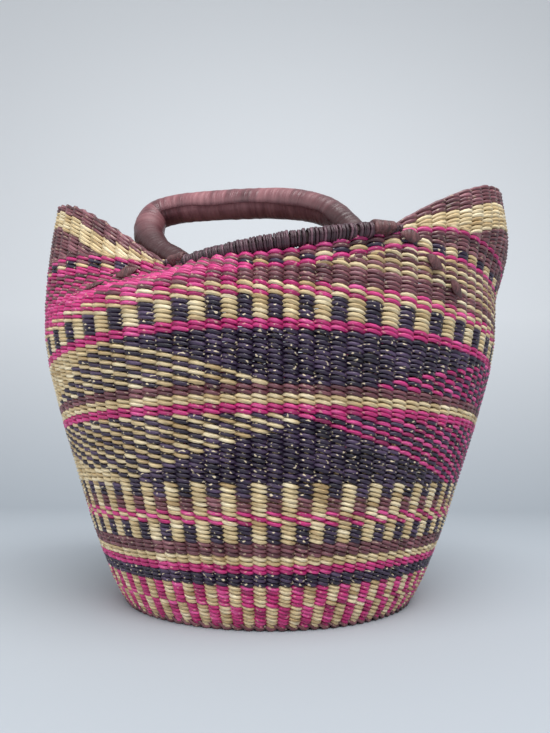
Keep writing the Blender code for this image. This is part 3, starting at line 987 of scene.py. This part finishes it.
def binding_oval(angle, turn, grow):
    """A place on the oval round the rim roll; turn 0 is outside and a quarter turn is the top."""
    row = rim_row(angle)
    outward, up = wall_axes(angle, row)
    thinning = ease((side_turn(angle) - binding_taper_start) / binding_taper_over)
    taper = 1.0 - binding_taper_share * thinning
    half_height = 0.5 * binding_height * taper
    half_width = 0.5 * (binding_outside + binding_inside) * (0.5 + 0.5 * taper)
    middle = 0.5 * (binding_inside - binding_outside)
    sideways = (half_width + grow) * np.sign(np.cos(turn)) * np.abs(np.cos(turn)) ** 0.8 - middle
    upwards = half_height + binding_lift + (half_height + grow) * np.sin(turn)
    place = wall(angle, row, 0.0)
    return place + outward * np.asarray(sideways)[..., None] + up * np.asarray(upwards)[..., None]


print("roll at the front", np.round(binding_oval(0.0, 0.5 * math.pi, 0.0), 3))

# %% Rim binding
binding_radius = 0.2
binding_pitch = 0.0015
binding_strand = 0.00098
binding_steps = 14
binding_slip = 0.28
binding_bulge = 0.0003
binding_unevenness = 0.12
binding_fibre_step = 1.9
dark_grass = grass_finish("binding_grass", ((40, 23, 31), (72, 44, 54), (120, 84, 96)), 0.46)
turns = int(math.radians(2 * binding_end) * binding_radius / binding_pitch)
share = np.arange(turns * binding_steps + 1) / binding_steps


def turn_chance(spread):
    """A value for every point of the spiral that wanders from turn to turn."""
    return np.interp(share, np.arange(turns + 2), weave_random.normal(0.0, spread, turns + 2))


for side_name, middle_turn in (("front", 0.0), ("back", 180.0)):
    slip = turn_chance(binding_slip)
    bulge = turn_chance(binding_bulge)
    angle = middle_turn - binding_end + 2 * binding_end * np.clip((share + slip) / turns, 0.0, 1.0)
    points = binding_oval(angle, -2 * math.pi * share, bulge - binding_strand)
    thickness = binding_strand * (1.0 + turn_chance(binding_unevenness))
    thickness[[0, -1]] *= strand_end_share
    make_tubes("rim_binding_" + side_name, [(points, thickness)], [share * binding_fibre_step],
               [np.zeros(len(share))], [dark_grass], "basket", ["rim_whipping_" + side_name],
               "whipping_grass")

# %% [markdown]
# ## Leather
# The handles are covered in thin red-brown goatskin. It was put on wet, pulled round the roll of grass
# and dried there, so it has fine creases across the handle and a gloss on the ridges. The finish mixes
# three reds, adds creases that run across, and lets the gloss change from place to place. Towards the
# lower ends of a handle the leather can be painted darker, as painted shade.


# %% Leather finish
grain_share = 0.65
crease_share = 0.35
gloss_range = (0.30, 0.55)
painted_shade_strength = 0.92
painted_shade_colour = seen_colour(52, 22, 25)


def leather_finish(name, map_name, crease_stretch, grain_stretch, tones, painted_shade_heights=None):
    """Leather painted darker as shade up to the first height, and not at all above the second."""
    made, shader = new_finish(name)
    place = uv_place(made, map_name) if map_name else object_place(made)
    creases = noise(made, place, crease_stretch, 4.0)
    grain = noise(made, place, grain_stretch, 2.0)
    part = add_node(made, "Math", {0: grain, 1: grain_share}, operation="MULTIPLY").outputs[0]
    both = add_node(made, "Math", {0: creases, 1: crease_share, 2: part}, operation="MULTIPLY_ADD")
    colour = three_tones(made, both.outputs[0], tones, (0.30, 0.72))
    # Painted shade: the leather is darkened towards the lower ends of the handle, below a given height.
    if painted_shade_heights:
        painted_shade_mask = rescale(made, object_height(made), painted_shade_heights, (painted_shade_strength, 0.0))
        colour = mix(made, painted_shade_mask, colour, painted_shade_colour)
    gloss = rescale(made, grain, noise_middle, gloss_range)
    bumps = relief(made, creases, 0.9, 0.0015)
    feed(made, shader, {"Base Color": colour, "Roughness": gloss, "Normal": bumps})
    return made


handle_skin = leather_finish("handle_goatskin", "strand", (3.2, 3.0, 1.0), (0.5, 2.0, 1.0),
                             ((68, 41, 45), (124, 76, 82), (168, 115, 119)), (0.280, 0.325))
strap_skin = leather_finish("strap_goatskin", None, (700.0, 700.0, 200.0), (420.0, 420.0, 90.0),
                            ((48, 26, 28), (84, 46, 48), (120, 76, 77)))
print("leathers:", handle_skin.name, strap_skin.name)

# %% [markdown]
# ## Handles
# A handle is a roll of grass inside a sleeve of leather, thick in the middle and thin at its ends. The
# sleeve is a sheet whose edges overlap along the top, which leaves a step that wanders along the
# handle. The section of the sleeve is drawn once, as a flat curve with that step in it, and Blender
# carries it along the handle's middle line. Tilt turns the section a little, so the step wanders.

# %% Section of the sleeve
section_points = 30
lip_height = 0.052
lip_width = 100.0
lip_corner = 3.0
lip_step = ((0.6, 0.3), (0.2, 0.8))


def sleeve_section():
    """A round outline of radius 1 whose last part steps down from an overlapping edge."""
    turns = np.concatenate([np.linspace(0.0, 360.0 - lip_corner, section_points - 2),
                            [360.0 - before * lip_corner for before, height in lip_step]])
    radius = 1.0 + lip_height * np.clip(1.0 - turns / lip_width, 0.0, 1.0)
    radius[-2:] = [1.0 + height * lip_height for before, height in lip_step]
    curve = bpy.data.curves.new("sleeve_section", "CURVE")
    curve.dimensions = "2D"
    spline = curve.splines.new("POLY")
    spline.points.add(section_points - 1)
    four = np.ones((section_points, 4))
    four[:, 0] = radius * np.cos(np.radians(turns))
    four[:, 1] = radius * np.sin(np.radians(turns))
    four[:, 2] = 0.0
    spline.points.foreach_set("co", four.ravel())
    spline.use_cyclic_u = True
    holder = bpy.data.objects.new("sleeve_section", curve)
    bpy.context.scene.collection.objects.link(holder)
    return holder


section = sleeve_section()
print("corners in the section", section_points)

# %% Middle line of a handle
arch_shares = ((-1.00, 0.00), (-1.01, 0.12), (-1.23, 0.295), (-1.51, 0.485), (-1.69, 0.76),
               (-1.665, 1.01), (-1.37, 1.065), (-0.90, 1.01), (-0.40, 0.92), (0.05, 0.82),
               (0.42, 0.69), (0.70, 0.51), (0.88, 0.26), (1.00, 0.00))
handle_height = 0.100
handle_radius = 0.0120
handle_end_radius = 0.0088
handle_swell_share = 0.3
handle_leans = {"front": 29.0, "back": 50.0}
handle_half_chords = {"front": 0.0619, "back": 0.0653}
hinges = {hinge["child"]: hinge for hinge in frame["record"]["behaviour"]["joints"]}


def smooth_line(corners, count):
    """Points evenly numbered along a soft line that passes through the corners."""
    corners = np.asarray(corners, dtype=float)
    first = 2 * corners[0] - corners[1]
    last = 2 * corners[-1] - corners[-2]
    padded = np.vstack([first, corners, last])
    place = np.linspace(0.0, len(corners) - 1, count)
    piece = np.minimum(place.astype(int), len(corners) - 2)
    local = (place - piece)[:, None]
    before, start, end, after = (padded[piece + step] for step in range(4))
    return 0.5 * (2 * start + (end - before) * local
                  + (2 * before - 5 * start + 4 * end - after) * local ** 2
                  + (3 * start - before - 3 * end + after) * local ** 3)


def arch_line(end_name, count):
    """The handle's middle line in the basket's own space, from the left end to the right one."""
    hinge = hinges["handle_" + end_name]
    along = Vector(hinge["axis"]).normalized()
    if along.x < 0:
        along = -along
    inward = Vector((0, 0, 1)).cross(along).normalized()
    if inward.y * hinge["pos_m"][1] > 0:
        inward = -inward
    upward = along.cross(inward)
    if upward.z < 0:
        upward = -upward
    lean = math.radians(handle_leans[end_name])
    rise = inward * math.sin(lean) + upward * math.cos(lean)
    shares = smooth_line(arch_shares, count)
    sideways = shares[:, :1] * handle_half_chords[end_name] * np.array(along)
    upwards = shares[:, 1:] * handle_height * np.array(rise)
    return np.array(hinge["pos_m"]) + sideways + upwards


print("handle tops", [round(float(arch_line(name, 60)[:, 2].max()), 3) for name in handle_leans])

# %% Handles
handle_rings = 230
dome_rings = 6
dome_turn = 86.0
crease_depth = 0.016
crease_softness = (0.3, 0.4, 0.3)
seam_turn = 0.45
seam_wander = 0.08
seam_waves = 30
share = np.linspace(0.0, 1.0, handle_rings)
swell = ease(np.minimum(share, 1.0 - share) / handle_swell_share)
turns = np.radians(np.linspace(0.0, dome_turn, dome_rings + 1))[1:]
depth = handle_end_radius * np.sin(turns)[:, None]
narrow = handle_end_radius * np.cos(turns)
for end_name in ("front", "back"):
    middle = arch_line(end_name, handle_rings)
    crease = np.convolve(weave_random.normal(0.0, 1.0, handle_rings), crease_softness, "same")
    radius = handle_end_radius + (handle_radius - handle_end_radius) * swell
    radius = radius * (1.0 + crease_depth * crease - 0.5 * crease_depth)
    start = (middle[0] - middle[1]) / np.linalg.norm(middle[0] - middle[1])
    end = (middle[-1] - middle[-2]) / np.linalg.norm(middle[-1] - middle[-2])
    points = np.concatenate([(middle[0] + start * depth)[::-1], middle, middle[-1] + end * depth])
    thickness = np.concatenate([narrow[::-1], radius, narrow])
    waves = smooth_line(weave_random.normal(0.0, 1.0, (seam_waves, 1)), len(points))[:, 0]
    steps = np.linalg.norm(np.diff(points, axis=0), axis=1)
    place = np.concatenate([[0.0], np.cumsum(steps)]) * 100.0
    make_tubes("handle_" + end_name, [(points, thickness)], [place], [np.zeros(len(place))],
               [handle_skin], "handle_" + end_name,
               ["handle_cover_" + end_name, "handle_core_" + end_name], "leather",
               section=section, tilt=seam_turn + seam_wander * waves)
    print("handle", end_name, "length", round(place[-1], 1), "cm")
bpy.data.objects.remove(section, do_unlink=True)

# %% [markdown]
# ## Leather loops
# At each handle end a strap of leather goes over the rim and down the inside, where it turns up under
# the handle's rounded end like a stirrup. It is a flat grid of faces whose points are moved onto that
# path; a Solidify modifier then gives the leather its thickness and a Subdivision modifier rounds it.

# %% Leather loops
loop_start = 17.3
loop_end = 22.9
loop_columns = 6
loop_leather = 0.0018
loop_room = 0.0006
leg_inset = 0.0091
hinge_inset = 0.0195
sling_radius = 0.0104
sling_turn = 115.0
strap_outer_turn = 0.16
leg_heights = np.array([0.0015, -0.0005])
corner_names = ("front_right", "front_left", "back_left", "back_right")


def at_corner(name, turn):
    """Angle of a place that lies a given turn away from the front or back middle."""
    side = 1.0 if name.endswith("right") else -1.0
    return side * turn if name.startswith("front") else 180.0 - side * turn


def loop_path(angle):
    """Places along the strap at one angle, from the outer edge of the rim to its inner end."""
    row = rim_row(angle)
    outward, up = wall_axes(angle, row)
    base = wall(angle, row, 0.0)
    over_turns = np.linspace(-strap_outer_turn * math.pi, math.pi, 9)
    over = binding_oval(np.full(9, angle), over_turns, loop_room + 0.5 * loop_leather)
    leg = base - outward * leg_inset + up * leg_heights[:, None]
    turns = np.radians(np.linspace(0.0, -sling_turn, 8))[:, None]
    sling = (base - outward * hinge_inset + outward * sling_radius * np.cos(turns)
             + up * sling_radius * np.sin(turns))
    return np.concatenate([over, leg[1:], sling[1:]])


def grid_through(points):
    """A grid of faces through points that are given as columns of rows."""
    work = bmesh.new()
    across = len(points) - 1
    along = len(points[0]) - 1
    grid = bmesh.ops.create_grid(work, x_segments=across, y_segments=along, size=1.0)
    for corner in grid["verts"]:
        column = round((corner.co.x + 1.0) / 2.0 * across)
        corner.co = points[column][round((corner.co.y + 1.0) / 2.0 * along)]
    return work


def soft_piece(name, work, body, solid, leather, levels):
    """Finish a shape as leather: thickness where it is a thin grid, then rounding."""
    bmesh.ops.recalc_face_normals(work, faces=work.faces)
    mesh = bpy.data.meshes.new(name)
    work.to_mesh(mesh)
    work.free()
    mesh.shade_smooth()
    mesh.materials.append(strap_skin)
    made = place_object(name, mesh)
    if leather:
        thick = made.modifiers.new("thickness", "SOLIDIFY")
        thick.thickness = leather
        thick.offset = 0.0
    smooth = made.modifiers.new("rounding", "SUBSURF")
    smooth.levels = levels
    smooth.render_levels = levels
    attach(made, body)
    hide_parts(*solid)


for name in corner_names:
    angles = np.linspace(at_corner(name, loop_start), at_corner(name, loop_end), loop_columns)
    strap = grid_through([loop_path(angle) for angle in angles])
    soft_piece("leather_loop_" + name, strap, "basket", ["rim_loop_" + name], loop_leather, 2)
print("loops", len(corner_names))

# %% [markdown]
# ## Lacing
# From each loop the strap's tail is laced down the wall: it runs along the inside and comes out in
# three stitches, or in two at the front left, which lie in a line that falls away from the handle. A
# stitch is swollen in its middle and pointed where it dives into the wall, so it is made from a ball
# that is flattened, stretched and pinched at both ends.

# %% Lacing stitches
corner_stitches = ((25.8, 87.6, 0.2), (31.3, 83.3, -1.9), (37.8, 79.0, -4.2))
front_left_stitches = ((34.8, 88.2, -2.2), (40.4, 83.0, -2.8))
stitch_reach = 5.0
stitch_half_length = 0.0094
stitch_half_width = 0.0054
stitch_half_depth = 0.0022
stitch_lift = 0.0012
stitch_pinch = 0.75


def leather_stitch(work, angle, row, direction_angle, direction_row):
    """One pointed stitch lying on the wall, long towards a direction given in degrees and rows."""
    outward = Vector(wall_axes(angle, row)[0])
    here = Vector(wall(angle, row, -stitch_lift))
    there = Vector(wall(angle + direction_angle, row + direction_row, -stitch_lift))
    along = (there - here).normalized()
    across = outward.cross(along).normalized()
    outward = along.cross(across)
    ball = bmesh.ops.create_uvsphere(work, u_segments=12, v_segments=10, radius=1.0)
    for corner in ball["verts"]:
        length = corner.co.z
        round_width = math.sqrt(max(0.0, 1.0 - length * length))
        pinch = min(1.0, (1.0 - abs(length)) ** stitch_pinch / max(0.05, round_width))
        corner.co = (here + along * length * stitch_half_length
                     + across * corner.co.x * pinch * stitch_half_width
                     + outward * corner.co.y * pinch * stitch_half_depth)


def stitches_of(name):
    """Turn, row and slope of each stitch at one corner."""
    return front_left_stitches if name == "front_left" else corner_stitches


for name in corner_names:
    reach = stitch_reach if name in ("front_right", "back_left") else -stitch_reach
    stitches = bmesh.new()
    for turn, row, slope in stitches_of(name):
        leather_stitch(stitches, at_corner(name, turn), row, reach, slope)
    soft_piece("leather_stitches_" + name, stitches, "basket", ["lacing_tail_" + name], 0.0, 1)
print("stitches", sum(len(stitches_of(name)) for name in corner_names))

# %% Lacing tail inside
tail_inset = 0.0092
tail_width_rows = 2.2
tail_columns = 16
tail_start_turn = loop_end - 1.0
tail_start_drop = 4.0
for name in corner_names:
    start_row = float(rim_row(at_corner(name, tail_start_turn))) - tail_start_drop
    turns, levels, slopes = zip((tail_start_turn, start_row, 0.0), *stitches_of(name))
    route = np.linspace(turns[0], turns[-1], tail_columns)
    points = [[wall(at_corner(name, turn), row + share * tail_width_rows, tail_inset)
               for share in (-0.5, 0.0, 0.5)]
              for turn, row in zip(route, np.interp(route, turns, levels))]
    soft_piece("leather_tail_" + name, grid_through(points), "basket", ["lacing_tail_" + name],
               loop_leather, 1)
print("tails", len(corner_names))

# %% [markdown]
# ## Rim roll
# Under the binding lies the roll of grass itself. Only its solid is needed, with a dark grass finish
# for the chinks between the turns.

# %% Rim roll finish
roll_grain = 400.0
roll_finish, roll_shader = new_finish("dark_roll")
grains = add_node(roll_finish, "TexNoise", {"Vector": object_place(roll_finish), "Scale": roll_grain})
roll_tones = add_node(roll_finish, "ValToRGB", {"Fac": grains.outputs["Fac"]})
roll_tones.color_ramp.elements[0].color = seen_colour(34, 24, 28)
roll_tones.color_ramp.elements[1].color = seen_colour(84, 62, 58)
feed(roll_finish, roll_shader, {"Base Color": roll_tones.outputs["Color"], "Roughness": 0.7})
for node_name in ("rim_core_front", "rim_core_back"):
    roll = bpy.data.objects[node_name]
    roll.data.materials.clear()
    roll.data.materials.append(roll_finish)
print("rim rolls finished")
